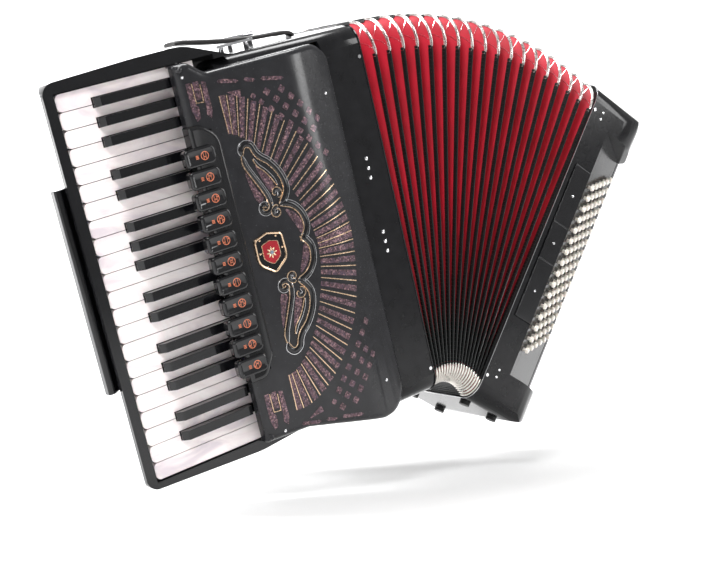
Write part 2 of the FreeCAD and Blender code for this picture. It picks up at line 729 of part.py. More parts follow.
def bass_strap():
    """The leather hand strap over the far end of the bass case, with room for the hand under it."""
    face = size("bass_far")
    rise = [(1, 182), (10, 172), (26, 140), (34, 92), (37, 36)]
    line = [(face + x, z) for x, z in rise] + [(face + x, -8 - z) for x, z in reversed(rise)]
    outer = [(face + 1, 187)] + [(x + 4, z) for x, z in line[1:-1]] + [(face + 1, -195)]
    strap = prism_along_y(outer + list(reversed(line)), 112, 168)
    node(made("strap_band", [strap]), "bass_strap")


def bass_fittings():
    """Chrome corner brackets, case screws and the rail plates that hold the hand strap."""
    face = size("bass_far")
    solids = [rod(2.2, (82, 0, z), -Y_AXIS, 1.2) for z in (192, -200)]
    for z in (168, -190):
        solids.append(Part.makeBox(1, 60, 14, Vector(face, 110, z)))
    for z in (190, -205):
        solids.append(rod(4, (face - 12, 60, z), Vector(0.75, -0.66, 0), 14))
    node(made("bass_metal", solids), "bass_fittings")


def strap_adjuster():
    """Knurled wheel at the top of the bass case that tightens the hand strap."""
    wheel = doc.addObject("Part::Cylinder", "wheel")
    wheel.Radius, wheel.Height = 11, 7
    wheel.Placement = Placement(Vector(140, 140, size("bass_top") + 2), Rotation())
    shaft = doc.addObject("Part::Cylinder", "wheel_shaft")
    shaft.Radius, shaft.Height = 3, 1.7
    shaft.Placement = Placement(Vector(140, 140, size("bass_top") + 0.3), Rotation())
    node(combine("Fuse", "adjuster", wheel, shaft), "strap_adjuster")


def air_button():
    """The button that lets air through the bass case so that the bellows moves silently."""
    face = size("bass_far")
    head = rod(7, (face + 4.5, *AIR_BUTTON), X_AXIS, 5)
    stem = rod(2, (face - 12, *AIR_BUTTON), X_AXIS, 17)
    node(made("air", [head.fuse(stem).removeSplitter()]), "air_button")


def bass_feet():
    """Rubber feet that the instrument is stood on when it is not worn."""
    floor = size("box_bottom")
    feet = [rod(7, (x, y, floor - 5), Z_AXIS, 5) for x in (95, 145) for y in (38, 150)]
    node(made("feet", feet), "bass_feet")


def build():
    treble_case()
    treble_foundation()
    treble_reed_blocks()
    keys()
    keyboard_frame()
    key_axle()
    key_springs()
    palm_master_bar()
    grille_cover()
    grille_cloth()
    register_housing()
    treble_registers()
    grille_badge()
    treble_fittings()
    bellows_strap()
    bellows()
    for maker in (bass_case, bass_button_board, bass_reed_blocks, bass_strap, bass_fittings,
                  strap_adjuster, air_button, bass_feet):
        maker()
        nodes[-1].Placement = rest(1.0)
    bass_buttons()
    bass_registers()


def write():
    doc.recompute()
    for item in doc.Objects:
        if "Invalid" in item.State or "Error" in item.State:
            raise SystemExit(f"{item.Name} failed: {item.State}")
    os.makedirs("parts", exist_ok=True)
    for piece in nodes:
        shape = piece.Shape
        if shape.isNull() or not shape.isValid():
            raise SystemExit(f"{piece.Label} has no valid shape")
        shape.exportStep(f"parts/{piece.Label}.step")
    print(len(nodes), "sub-parts written")


build()
write()
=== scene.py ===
import json
import math
import random
from math import cos, pi, radians, sin

import bmesh
import bpy
import numpy as np
from mathutils import Matrix, Vector
from numpy.linalg import norm

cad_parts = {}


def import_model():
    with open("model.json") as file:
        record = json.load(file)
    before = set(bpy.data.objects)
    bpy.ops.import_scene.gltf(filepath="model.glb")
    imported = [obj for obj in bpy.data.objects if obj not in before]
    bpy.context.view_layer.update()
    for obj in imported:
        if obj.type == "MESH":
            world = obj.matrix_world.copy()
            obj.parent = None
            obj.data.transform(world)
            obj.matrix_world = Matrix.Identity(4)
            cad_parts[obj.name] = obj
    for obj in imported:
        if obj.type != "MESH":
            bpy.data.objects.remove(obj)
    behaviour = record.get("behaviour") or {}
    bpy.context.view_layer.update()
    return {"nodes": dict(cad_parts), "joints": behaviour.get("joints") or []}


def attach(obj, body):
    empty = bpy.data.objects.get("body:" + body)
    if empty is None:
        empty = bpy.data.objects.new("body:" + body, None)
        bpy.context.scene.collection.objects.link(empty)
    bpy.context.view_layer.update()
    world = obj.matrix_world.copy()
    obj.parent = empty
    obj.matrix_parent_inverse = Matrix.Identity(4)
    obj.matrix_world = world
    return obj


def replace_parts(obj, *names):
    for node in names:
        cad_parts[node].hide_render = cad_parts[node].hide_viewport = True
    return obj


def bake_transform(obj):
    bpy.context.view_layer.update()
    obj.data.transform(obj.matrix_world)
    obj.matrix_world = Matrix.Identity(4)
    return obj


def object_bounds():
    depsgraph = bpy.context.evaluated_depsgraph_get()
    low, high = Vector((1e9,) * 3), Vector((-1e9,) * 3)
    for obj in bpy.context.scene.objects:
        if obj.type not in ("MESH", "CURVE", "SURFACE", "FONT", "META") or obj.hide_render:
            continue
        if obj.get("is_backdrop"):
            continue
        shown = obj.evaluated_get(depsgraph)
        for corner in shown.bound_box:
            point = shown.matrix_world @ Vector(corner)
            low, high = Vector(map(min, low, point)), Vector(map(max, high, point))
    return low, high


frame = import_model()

random.seed(7)

# ---- the drawing's frame: millimetres, instrument closed and upright

JOINTS = {joint["name"]: joint for joint in frame["joints"]}
push = JOINTS["palm_bar_push"]["axis"]
LEAN = math.atan2(-push[2], push[0])
FAN = -radians(JOINTS["bellows_fan"]["range_deg"][0])
FAN_X, FAN_Z = 27.5, -216.0
ORIGIN = (-100.0, 188.0, -2.0)
FOLDS = 18
BELLOWS = 76.7
TOP, BASS_TOP, BOTTOM, DEPTH = 232.0, 228.0, -236.0, 188.0
CASE_ROUND = 24.0
MM = 0.001
FORWARD = np.array([0.0, -1.0, 0.0])
SIDEWAYS = np.array([1.0, 0.0, 0.0])
UPWARD = np.array([0.0, 0.0, 1.0])


def turned(angle, x, z):
    return x * np.cos(angle) + z * np.sin(angle), -x * np.sin(angle) + z * np.cos(angle)


def world(points, share=0.0):
    """Points of the drawing, in metres and at rest; share is their part of the fan angle."""
    points = np.asarray(points, float).reshape(-1, 3)
    share = np.broadcast_to(np.asarray(share, float), (len(points),))
    x, z = turned(FAN * share, points[:, 0] - FAN_X, points[:, 2] - FAN_Z)
    x, z = turned(LEAN, x + FAN_X - ORIGIN[0], z + FAN_Z - ORIGIN[2])
    return np.stack([x, points[:, 1] - ORIGIN[1], z], 1) / 1000.0


# ---- materials

def material(name, colour, roughness, metallic=0.0, **sockets):
    made = bpy.data.materials.new(name)
    made.use_nodes = True
    shader = made.node_tree.nodes["Principled BSDF"]
    shader.inputs["Base Color"].default_value = (*colour, 1)
    shader.inputs["Roughness"].default_value = roughness
    shader.inputs["Metallic"].default_value = metallic
    for key, value in sockets.items():
        shader.inputs[key.replace("_", " ").title().replace("Ior", "IOR")].default_value = value
    return made


def node(made, kind, **values):
    new = made.node_tree.nodes.new(kind)
    for key, value in values.items():
        if key in new.inputs:
            new.inputs[key].default_value = value
        else:
            setattr(new, key, value)
    return new


def link(made, source, output, target, socket):
    made.node_tree.links.new(source.outputs[output], target.inputs[socket])


def coordinates(made, scale=(1, 1, 1), turn=(0, 0, 0)):
    place = node(made, "ShaderNodeTexCoord")
    mapping = node(made, "ShaderNodeMapping")
    mapping.inputs["Scale"].default_value = scale
    mapping.inputs["Rotation"].default_value = turn
    link(made, place, "Object", mapping, "Vector")
    return mapping


def ramp(made, source, output, stops):
    new = node(made, "ShaderNodeValToRGB")
    while len(new.color_ramp.elements) < len(stops):
        new.color_ramp.elements.new(0.5)
    for element, (position, colour) in zip(new.color_ramp.elements, stops):
        element.position = position
        element.color = (*colour, 1) if len(colour) == 3 else (colour[0],) * 3 + (1,)
    link(made, source, output, new, "Fac")
    return new


def shader_of(made):
    return made.node_tree.nodes["Principled BSDF"]


def drive(made, socket, source, output, stops):
    """A colour ramp from a texture's output into one of the shader's sockets."""
    link(made, ramp(made, source, output, stops), "Color", shader_of(made), socket)


def tinted(colour, factor):
    return tuple(c * factor for c in colour)


def bump(made, source, output, strength, distance):
    new = node(made, "ShaderNodeBump", Strength=strength, Distance=distance)
    link(made, source, output, new, "Height")
    link(made, new, "Normal", shader_of(made), "Normal")
    return new


def noise(made, where, scale, detail=4.0, distortion=0.0):
    new = node(made, "ShaderNodeTexNoise", Scale=scale, Detail=detail, Distortion=distortion)
    link(made, where, "Vector", new, "Vector")
    return new


def glossy(name, colour, low, high, coat, bump_strength=0.03, specular=0.32):
    """Polished celluloid: faint unevenness, fine scratches in the roughness."""
    made = material(name, colour, low, coat_weight=coat, coat_roughness=0.05, specular_ior_level=specular)
    where = coordinates(made)
    drive(made, "Base Color", noise(made, where, 60.0), "Fac",
          [(0.3, tinted(colour, 0.8)), (0.7, tinted(colour, 1.25))])
    drive(made, "Roughness", noise(made, where, 340.0), "Fac", [(0.35, (low,)), (0.7, (high,))])
    bump(made, noise(made, where, 14.0, 2.0), "Fac", bump_strength, 0.004)
    return made


def pearl(name, light, mid, shade, scale, stretch):
    """Pearl celluloid: soft clouds of a few pale tints, drawn out along the key."""
    made = material(name, light, 0.16, coat_weight=0.6, coat_roughness=0.06,
                    subsurface_weight=0.05, subsurface_scale=0.002)
    where = coordinates(made, stretch, (0, -LEAN, 0))
    clouds = noise(made, where, scale, 5.0, 1.6)
    drive(made, "Base Color", clouds, "Fac", [(0.28, shade), (0.45, mid), (0.62, light), (0.8, mid)])
    streaks = noise(made, where, scale * 2.3, 3.0, 2.4)
    drive(made, "Roughness", streaks, "Fac", [(0.3, (0.1,)), (0.75, (0.26,))])
    return made


def metal(name, colour, low, high, scale=180.0):
    made = material(name, colour, low, 1.0)
    worn = noise(made, coordinates(made), scale)
    drive(made, "Roughness", worn, "Fac", [(0.3, (low,)), (0.75, (high,))])
    drive(made, "Base Color", worn, "Fac", [(0.3, tinted(colour, 0.82)), (0.7, colour)])
    return made


def glitter(name, stops, cell):
    """Flakes of a few tints in clear lacquer, each tilted its own way."""
    made = material(name, stops[0][1], 0.35, 0.55, coat_weight=0.3, coat_roughness=0.15)
    flakes = node(made, "ShaderNodeTexVoronoi", Scale=cell)
    link(made, coordinates(made), "Vector", flakes, "Vector")
    drive(made, "Base Color", flakes, "Color", stops)
    bump(made, flakes, "Color", 0.5, 0.0006)
    return made


def cloth(name, colour, dark, weave):
    made = material(name, colour, 0.62, sheen_weight=0.3, sheen_roughness=0.5)
    where = coordinates(made)
    waves = node(made, "ShaderNodeTexWave", Scale=weave, Distortion=0.6)
    link(made, where, "Vector", waves, "Vector")
    drive(made, "Base Color", noise(made, where, 26.0), "Fac", [(0.3, dark), (0.7, colour)])
    bump(made, waves, "Fac", 0.12, 0.0004)
    return made


def leather(name, colour):
    made = material(name, colour, 0.5, coat_weight=0.06, coat_roughness=0.3, specular_ior_level=0.22)
    where = coordinates(made)
    grain = node(made, "ShaderNodeTexVoronoi", Scale=620.0)
    link(made, where, "Vector", grain, "Vector")
    drive(made, "Base Color", noise(made, where, 45.0), "Fac",
          [(0.3, tinted(colour, 0.7)), (0.7, tinted(colour, 1.5))])
    bump(made, grain, "Distance", 0.25, 0.0006)
    return made


def wood(name, light, dark):
    made = material(name, light, 0.55)
    rings = node(made, "ShaderNodeTexWave", Scale=30.0, Distortion=5.0, Detail=3.0)
    link(made, coordinates(made, (1, 1, 0.12)), "Vector", rings, "Vector")
    drive(made, "Base Color", rings, "Fac", [(0.2, dark), (0.8, light)])
    bump(made, rings, "Fac", 0.1, 0.0005)
    return made


M = {
    "case": glossy("black_celluloid", (0.009, 0.009, 0.010), 0.12, 0.2, 0.06, 0.02, 0.24),
    "frame": glossy("black_celluloid_frame", (0.005, 0.005, 0.006), 0.06, 0.12, 0.35),
    "grille": glossy("satin_black_lacquer", (0.014, 0.014, 0.016), 0.2, 0.28, 0.1, 0.006),
    "white": pearl("pearl_white", (0.97, 0.90, 0.89), (0.88, 0.79, 0.79), (0.70, 0.62, 0.66), 22.0,
                   (0.5, 1, 1.5)),
    "black": glossy("black_key", (0.004, 0.004, 0.005), 0.08, 0.16, 0.3),
    "tab": glossy("register_black", (0.007, 0.007, 0.008), 0.07, 0.14, 0.45),
    "cream": pearl("pearl_cream", (0.88, 0.84, 0.76), (0.8, 0.74, 0.66), (0.7, 0.63, 0.56), 160.0, (1, 1, 1)),
    "chrome": metal("chrome", (0.86, 0.86, 0.88), 0.06, 0.16),
    "nickel": metal("nickel", (0.62, 0.6, 0.58), 0.2, 0.36),
    "guard": metal("pale_guard", (0.88, 0.84, 0.78), 0.24, 0.4),
    "gold": metal("gold", (0.86, 0.62, 0.42), 0.2, 0.34, 400.0),
    "silver": metal("silver_line", (0.88, 0.88, 0.9), 0.12, 0.25, 400.0),
    "steel": metal("steel", (0.6, 0.6, 0.62), 0.25, 0.4),
    "alu": metal("aluminium", (0.7, 0.7, 0.71), 0.3, 0.45),
    "glitter": glitter("pink_glitter", [
        (0.2, (0.03, 0.018, 0.02)), (0.42, (0.12, 0.06, 0.075)), (0.6, (0.05, 0.035, 0.06)),
        (0.78, (0.34, 0.2, 0.21)), (0.9, (0.04, 0.025, 0.028))], 560.0),
    "red": cloth("red_bellows_cloth", (0.56, 0.0, 0.024), (0.42, 0.0, 0.015), 900.0),
    "tape": glossy("black_tape", (0.006, 0.007, 0.007), 0.3, 0.45, 0.15, 0.1),
    "leather": leather("black_leather", (0.016, 0.015, 0.015)),
    "thread": cloth("black_thread", (0.12, 0.11, 0.11), (0.06, 0.06, 0.06), 2000.0),
    "wood": wood("spruce", (0.5, 0.34, 0.2), (0.36, 0.22, 0.12)),
    "rubber": leather("rubber", (0.02, 0.02, 0.02)),
    "orange": glossy("orange_paint", (0.55, 0.16, 0.08), 0.35, 0.5, 0.2),
    "enamel": glossy("red_enamel", (0.30, 0.012, 0.02), 0.12, 0.2, 0.6),
    "enamel_blue": glossy("grey_blue_enamel", (0.16, 0.2, 0.26), 0.12, 0.2, 0.6),
}

# ---- mesh helpers

def shown(name, data):
    made = bpy.data.objects.new(name, data)
    bpy.context.scene.collection.objects.link(made)
    return made


class Build:
    """Collects faces of one piece; points are in metres."""

    def __init__(self, name, looks):
        self.name, self.looks = name, looks
        self.points, self.faces, self.slots = [], [], []

    def add(self, points, faces, slot=0):
        base = len(self.points)
        self.points.extend(tuple(float(c) for c in point) for point in points)
        self.faces.extend(tuple(base + index for index in face) for face in faces)
        self.slots.extend([slot] * len(faces))

    def object(self, body, slot, smooth=40.0, place=True):
        """The piece, riding on a body; edges sharper than smooth degrees stay sharp."""
        mesh = bpy.data.meshes.new(self.name)
        mesh.from_pydata(self.points, [], self.faces)
        for look in self.looks:
            mesh.materials.append(M[look])
        mesh.polygons.foreach_set("material_index", self.slots)
        work = bmesh.new()
        work.from_mesh(mesh)
        bmesh.ops.recalc_face_normals(work, faces=work.faces)
        limit = radians(smooth)
        for face in work.faces:
            face.smooth = True
        for edge in work.edges:
            edge.smooth = len(edge.link_faces) == 2 and edge.calc_face_angle(0) < limit
        work.to_mesh(mesh)
        work.free()
        piece = shown(self.name, mesh)
        if place:
            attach(piece, body)
        return piece


def unit(rows):
    """Each row of an array at length 1."""
    return rows / (norm(rows, axis=1)[:, None] + 1e-12)


def grid_faces(rows, columns, close_rows=False, close_columns=False):
    faces = []
    for r in range(rows if close_rows else rows - 1):
        for c in range(columns if close_columns else columns - 1):
            n, d = (r + 1) % rows, (c + 1) % columns
            faces.append((r * columns + c, r * columns + d, n * columns + d, n * columns + c))
    return faces


def capped_faces(rows, columns):
    """A closed skin over rings of points, with a lid on both ends."""
    faces = grid_faces(rows, columns, False, True)
    faces.append(tuple(range(columns))[::-1])
    faces.append(tuple(range((rows - 1) * columns, rows * columns)))
    return faces


def smooth_line(points, steps=8, closed=False):
    """Catmull-Rom line through points, as an array."""
    points = np.asarray(points, float)
    count = len(points)
    spans = count if closed else count - 1
    made = []
    for index in range(spans):
        a, b, c, d = (points[(index + k) % count] if closed else points[min(max(index + k, 0), count - 1)]
                      for k in (-1, 0, 1, 2))
        for step in range(steps):
            t = step / steps
            made.append(0.5 * (2 * b + (c - a) * t + (2 * a - 5 * b + 4 * c - d) * t * t
                               + (3 * b - a - 3 * c + d) * t ** 3))
    if not closed:
        made.append(points[-1])
    return np.array(made)


def tube(build, line, across, up, slot=0, sides=8, closed=False, normal=FORWARD, share=0.0, taper=False):
    """A rod of elliptical section along a line of the drawing; normal is the direction of its 'up' axis."""
    line = np.asarray(line, float)
    count = len(line)
    tangent = unit(np.roll(line, -1, 0) - np.roll(line, 1, 0) if closed else np.gradient(line, axis=0))
    side = unit(np.cross(tangent, np.broadcast_to(np.asarray(normal, float), line.shape)))
    upward = np.cross(side, tangent)
    scale = np.ones(count)
    if taper:
        scale = np.minimum(1.0, 0.25 + np.minimum(np.arange(count), np.arange(count)[::-1]) / 4.0)
    points = []
    for index in range(sides):
        angle = 2 * pi * index / sides
        points.append(line + side * (across * cos(angle) * scale)[:, None]
                      + upward * (up * sin(angle) * scale)[:, None])
    points = np.stack(points, 1)
    faces = grid_faces(count, sides, True, True) if closed else capped_faces(count, sides)
    build.add(world(points, share), faces, slot)


def lathe(build, profile, centre, axis, share=0.0, sides=20, slot=0):
    """A turned shape: profile is (radius, height) along axis from centre."""
    axis = np.asarray(axis, float) / norm(axis)
    other = UPWARD if abs(axis[2]) < 0.9 else SIDEWAYS
    u = np.cross(axis, other)
    u /= norm(u)
    v = np.cross(axis, u)
    points = []
    for radius, height in profile:
        middle = np.asarray(centre) + axis * height
        for index in range(sides):
            angle = 2 * pi * index / sides
            points.append(middle + (u * cos(angle) + v * sin(angle)) * radius)
    build.add(world(points, share), capped_faces(len(profile), sides), slot)


def block(build, corners, low, high, share=0.0, slot=0, axis=1):
    """A prism on a flat outline; the outline is given without the axis that it is pushed along."""
    points = []
    for level in (low, high):
        for a, b in corners:
            point = [a, b]
            point.insert(axis, level)
            points.append(point)
    count = len(corners)
    faces = [tuple(range(count)), tuple(range(count, 2 * count))[::-1]]
    faces += [(i, (i + 1) % count, count + (i + 1) % count, count + i) for i in range(count)]
    build.add(world(points, share), faces, slot)


# ---- finishes of the CAD pieces

def finish_cad(name, look, bevel=0.0, segments=2):
    """A CAD piece's material, and rolled edges of so many millimetres."""
    piece = frame["nodes"][name]
    if not piece.material_slots:
        piece.data.materials.append(M[look])
    for slot in piece.material_slots:
        slot.link = "OBJECT"
        slot.material = M[look]
    if bevel:
        weld = piece.modifiers.new("weld", "WELD")
        weld.merge_threshold = 0.02 * MM
        edges = piece.modifiers.new("bevel", "BEVEL")
        edges.width, edges.segments = bevel / 1000, segments
        edges.limit_method, edges.angle_limit = "ANGLE", radians(30)
        edges.harden_normals = edges.use_clamp_overlap = True


for name in frame["nodes"]:
    if name.startswith("keys_"):
        finish_cad(name, "black" if "sharp" in name else "white", 0.9, 3)
for name, look, *bevel in (
        ("treble_case", "case", 1.2, 3), ("bass_case", "case", 1.0, 3), ("keyboard_frame", "frame", 5.0, 5),
        ("bass_button_board", "case", 0.3, 1),
        *((f"bass_register_{part}", "tab", 0.7) for part in ("upper", "middle", "lower")),
        *((part, "chrome", 0.4)
          for part in ("treble_fittings", "bass_fittings", "strap_adjuster", "air_button")),
        ("treble_foundation", "alu"), ("key_axle", "steel"), ("key_springs", "steel"),
        ("treble_reed_blocks", "wood"), ("bass_reed_blocks", "wood"), ("bass_feet", "rubber"),
        ("treble_bellows_frame", "wood"), ("bass_bellows_frame", "wood")):
    finish_cad(name, look, *bevel)

# ---- bellows

RIDGE, VALLEY = 2.6, 25.0  # how far the crests and the valleys lie inside the outline
TAPE = 0.21  # share of a slope that the tape covers
FOLD_TOP, FOLD_ROUND = 234.6, 44.0
RUNG_PITCH = 5.2
UPPER_GUARD, LOWER_GUARD = 1.25, 1.5


def perimeter(seg, f, inset):
    """Depth and height on a fold's outline: eight stretches, four sides and four round corners."""
    low, high, near, far = BOTTOM + inset, FOLD_TOP - inset, inset, DEPTH - inset
    upper, lower = max(FOLD_ROUND - inset, 6.0), max(CASE_ROUND - inset, 3.0)
    seg, f = np.asarray(seg), np.asarray(f, float)
    y, z = np.zeros(f.shape), np.zeros(f.shape)
    sides = {0: (near, near, low + lower, high - upper),
             2: (near + upper, far - upper, high, high),
             4: (far, far, high - upper, low + lower),
             6: (far - lower, near + lower, low, low)}
    corners = {1: (near + upper, high - upper, pi, upper),
               3: (far - upper, high - upper, pi / 2, upper),
               5: (far - lower, low + lower, 0.0, lower),
               7: (near + lower, low + lower, -pi / 2, lower)}
    for key, (y0, y1, z0, z1) in sides.items():
        here = seg == key
        y[here], z[here] = (y0 + (y1 - y0) * f)[here], (z0 + (z1 - z0) * f)[here]
    for key, (cy, cz, start, r) in corners.items():
        here = seg == key
        angle = start - f * pi / 2
        y[here], z[here] = (cy + r * np.cos(angle))[here], (cz + r * np.sin(angle))[here]
    return y, z


def outline_samples():
    seg, f = [], []
    for key in range(8):
        steps = 8 if key % 2 else 2
        seg += [key] * steps
        f += [k / steps for k in range(steps)]
    return np.array(seg), np.array(f)


def fold_line(place, seg, f, inset):
    """World points of the outline at a place counted in folds from the treble case."""
    y, z = perimeter(seg, f, inset)
    x = np.full(y.shape, BELLOWS * place / FOLDS)
    return world(np.stack([x, y, z], 1), place / FOLDS)


def flank(ridge, side, d, seg, f, h=0.0):
    """World points on the slope from a ridge to the valley beside it: d from 0 to 1, h metres proud."""
    top = fold_line(ridge, seg, f, RIDGE)
    foot = fold_line(ridge + 0.5 * side, seg, f, VALLEY)
    nudge = 1e-3
    ahead = fold_line(ridge, seg, np.asarray(f) + nudge, RIDGE) - top
    normal = np.cross(foot - top, ahead) * side
    normal /= norm(normal, axis=1)[:, None] + 1e-15
    return top + (foot - top) * d + normal * h


def bend_fold(piece):
    """Bakes the piece's placing into its mesh; the piece does not follow the fan."""
    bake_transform(piece)


def bend_ridge(piece, ridge):
    if ridge == 0:
        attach(piece, "treble")
    elif ridge == FOLDS:
        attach(piece, "bass_side")
    elif ridge % 3 == 0:
        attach(piece, f"bellows_fold_{ridge:02d}")
        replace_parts(piece, f"bellows_fold_{ridge:02d}")
    else:
        # a blend this long has one share over the whole ridge
        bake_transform(piece)


def band(build, ridge, side, d0, d1, h0, h1, seg, f, slot):
    """A strip of tape or metal on a slope, with four long faces and two ends."""
    rows = [flank(ridge, side, d0, seg, f, h0), flank(ridge, side, d0, seg, f, h1),
            flank(ridge, side, d1, seg, f, h1), flank(ridge, side, d1, seg, f, h0)]
    count = len(seg)
    faces = grid_faces(4, count, True, False)
    faces.append(tuple(r * count for r in range(4)))
    faces.append(tuple(r * count + count - 1 for r in range(4))[::-1])
    build.add(np.concatenate(rows), faces, slot)


RUNG_FACES = [(0, 1, 3, 2), (2, 3, 5, 4), (4, 5, 7, 6), (0, 2, 4, 6), (1, 7, 5, 3), (0, 6, 7, 1)]


def pads(build, ridge, side, slot):
    """The ladder pressed into the tape: raised rungs along the straight sides."""
    for key, length in ((0, 418.0), (2, 140.0), (4, 418.0), (6, 140.0)):
        count = int(length / RUNG_PITCH)
        start = (np.arange(count) + 0.16) / count
        stop = (np.arange(count) + 0.84) / count
        seg = np.full(count, key)
        corners = []
        for d, h in ((0.02, 0.4), (0.035, 1.3), (0.19, 1.3), (0.205, 0.4)):
            for f in (start, stop):
                corners.append(flank(ridge, side, d, seg, f, h * MM))
        for row in np.stack(corners, 1):
            build.add(row, RUNG_FACES, slot)


def corner_run(first, last, front, top):
    """Samples round one corner of the outline, reaching a little way along both sides."""
    seg, f = [], []
    for key, begin, end, steps in ((first - 1, 1 - front, 1.0, 3), (first, 0.0, 1.0, 8), (last, 0.0, top, 3)):
        seg += [key % 8] * steps
        f += [begin + (end - begin) * k / steps for k in range(steps)]
    seg.append(last % 8)
    f.append(top)
    return np.array(seg), np.array(f)


UPPER_CORNERS = ((1, 2, 0.012, 0.03), (3, 4, 0.03, 0.012))
LOWER_CORNERS = ((5, 6, 0.012, 0.06), (7, 0, 0.06, 0.012))
SIDES = ((0, 0.012, 0.988), (2, 0.03, 0.97), (4, 0.012, 0.988), (6, 0.06, 0.94))


def gusset_highlight_beads(build, fold):
    """Pale silver beads along the gussets' edges in the two upper corners, a V on each slope: a painted
    highlight on the gusset edges.
    """
    share = np.linspace(0, 1, 6)
    for key in (1, 3):
        for side, ridge in ((1, fold), (-1, fold + 1)):
            for foot, tip in ((0.10, 0.42), (0.62, 0.42)):
                if key == 3:
                    foot, tip = 1 - foot, 1 - tip
                place = foot + (tip - foot) * share
                depth = 0.12 + 0.62 * share
                rows = [np.array([flank(ridge, side, d + shift, np.array([key]), np.array([g]), h * MM)[0]
                                  for d, g in zip(depth, place)])
                        for shift, h in ((0.0, -0.1), (0.0, 0.45), (0.045, 0.45), (0.045, -0.1))]
                faces = grid_faces(4, 6, True, False) + [(0, 6, 12, 18), (5, 23, 17, 11)]
                # slot 3 is the silver material: these beads are a painted highlight on the gussets' edges
                build.add(np.concatenate(rows), faces, 3)


def ridge_line(ridge, y, z):
    return np.stack([np.full(len(y), BELLOWS * ridge / FOLDS), y, z], 1)


def bellows():
    seg, f = outline_samples()
    for fold in range(FOLDS):
        # the fourth material, silver, carries the painted highlight beads on the gussets' edges
        build = Build(f"bellows_cloth_{fold + 1:02d}", ["red", "tape", "nickel", "silver"])
        rows = [fold_line(fold, seg, f, RIDGE + 0.2), fold_line(fold + 0.5, seg, f, VALLEY),
                fold_line(fold + 1, seg, f, RIDGE + 0.2), fold_line(fold + 1, seg, f, RIDGE + 3.0),
                fold_line(fold + 0.5, seg, f, VALLEY + 1.6), fold_line(fold, seg, f, RIDGE + 3.0)]
        build.add(np.concatenate(rows), grid_faces(6, len(seg), True, True), 0)
        for ridge, side in ((fold, 1), (fold + 1, -1)):
            for key, begin, end in SIDES:
                g = np.linspace(begin, end, 4)
                band(build, ridge, side, 0.0, TAPE, -0.1 * MM, 0.5 * MM, np.full(4, key), g, 1)
            pads(build, ridge, side, 1)
            for corner in UPPER_CORNERS:
                band(build, ridge, side, -0.01, 0.09, 0.3 * MM, 0.9 * MM, *corner_run(*corner), 2)
        # pale beads of painted highlight on the gussets' edges
        gusset_highlight_beads(build, fold)
        bend_fold(build.object("treble", "bellows", place=False))
    for ridge in range(FOLDS + 1):
        share = ridge / FOLDS
        build = Build(f"bellows_ridge_{ridge:02d}", ["tape", "nickel", "guard"])
        tube(build, ridge_line(ridge, *perimeter(seg, f, RIDGE)), 1.0, 1.0, 0, 8, True, SIDEWAYS, share)
        for corners, radius, slot in ((UPPER_CORNERS, UPPER_GUARD, 1), (LOWER_CORNERS, LOWER_GUARD, 2)):
            for corner in corners:
                line = ridge_line(ridge, *perimeter(*corner_run(*corner), RIDGE - 0.2))
                tube(build, line, radius, radius, slot, 10, False, SIDEWAYS, share, True)
        bend_ridge(build.object("treble", "bellows", place=False), ridge)


bellows()

# ---- grille cover

COVER_FRONT, COVER_LEFT, COVER_RIGHT = -24.0, -265.0, -54.0
BEND_START, BEND_RADIUS, SLOPE = -123.4, 90.0, math.atan(17 / 56)
BEND_END = BEND_START + BEND_RADIUS * sin(SLOPE)
ROLL = 9.0
HOUSING_FLOOR, KEY_FLOOR, CASE_FLOOR = -13.4, -9.6, -0.3  # where the cover's walls end


def rounded(corners, steps=8):
    """A closed outline with round corners; each corner is (u, v, radius)."""
    made = []
    count = len(corners)
    for index, (u, v, radius) in enumerate(corners):
        here = np.array([u, v], float)
        before = np.array(corners[index - 1][:2], float) - here
        after = np.array(corners[(index + 1) % count][:2], float) - here
        if radius == 0:
            made.append(here)
            continue
        before /= norm(before)
        after /= norm(after)
        half = math.acos(np.clip(before @ after, -1, 1)) / 2
        reach = radius / math.tan(half)
        middle = here + (before + after) / norm(before + after) * radius / sin(half)
        start, stop = here + before * reach - middle, here + after * reach - middle
        turn = math.atan2(start[0] * stop[1] - start[1] * stop[0], start @ stop)
        for k in range(steps + 1):
            c, s = cos(turn * k / steps), sin(turn * k / steps)
            made.append(middle + (start[0] * c - start[1] * s, start[0] * s + start[1] * c))
    return np.array(made)


COVER = rounded([(COVER_LEFT, 237, 4), (-246, 237, 12), (-226, 222, 16), (COVER_RIGHT, 222, 26),
                 (COVER_RIGHT, BOTTOM, 32), (-96, BOTTOM, 32), (-205, -207, 20), (COVER_LEFT, -205, 4)], 10)


def at_depth(outline, depth):
    """A flat outline (x, z) as points of the drawing."""
    return np.stack([outline[:, 0], np.full(len(outline), depth), outline[:, 1]], 1)


def resampled(outline, pitch, whole=math.ceil):
    """The outline with its long stretches cut into steps of about pitch."""
    made = []
    for a, b in zip(outline, np.roll(outline, -1, 0)):
        count = max(1, int(whole(norm(b - a) / pitch)))
        made += [a + (b - a) * k / count for k in range(count)]
    return np.array(made)


def inward_of(outline):
    """The direction into a clockwise outline, at each of its points."""
    tangent = unit(np.roll(outline, -1, 0) - np.roll(outline, 1, 0))
    return np.stack([tangent[:, 1], -tangent[:, 0]], 1)


def edge_distance(points, outline):
    """How far each point is from the outline."""
    best = np.full(len(points), 1e9)
    for a, b in zip(outline, np.roll(outline, -1, 0)):
        along = b - a
        length = along @ along
        if length < 1e-12:
            continue
        t = np.clip(((points - a) @ along) / length, 0, 1)
        best = np.minimum(best, norm(points - a - t[:, None] * along, axis=1))
    return best


